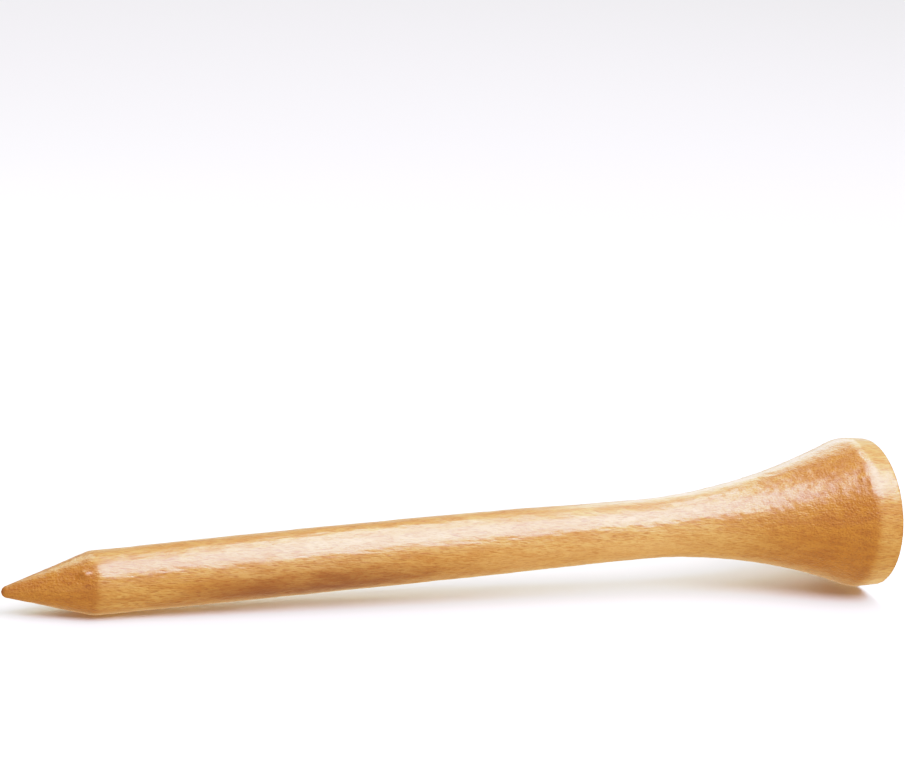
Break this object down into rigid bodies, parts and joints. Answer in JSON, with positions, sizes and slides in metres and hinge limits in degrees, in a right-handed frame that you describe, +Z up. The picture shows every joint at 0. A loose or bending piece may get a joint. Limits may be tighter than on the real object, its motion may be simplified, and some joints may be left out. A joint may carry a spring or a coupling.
{
  "type": "golf tee",
  "caption": "Turned wooden golf tee: pointed foot, straight shank and a flared head with a shallow cup that holds a golf ball above the turf.",
  "frame": {"origin": "the point of the tee, on its axis: the lowest point when it stands", "axes": "+Z up the tee's axis from its point to its cup; the tee is round, so X and Y are alike"},
  "size_m": [0.0118, 0.0118, 0.0698],
  "materials": {
    "lacquered_birch": "pale hardwood, amber under glossy clear lacquer"
  },
  "bodies": {
    "root": {"turned_tee": "lacquered_birch"}
  },
  "joints": []
}
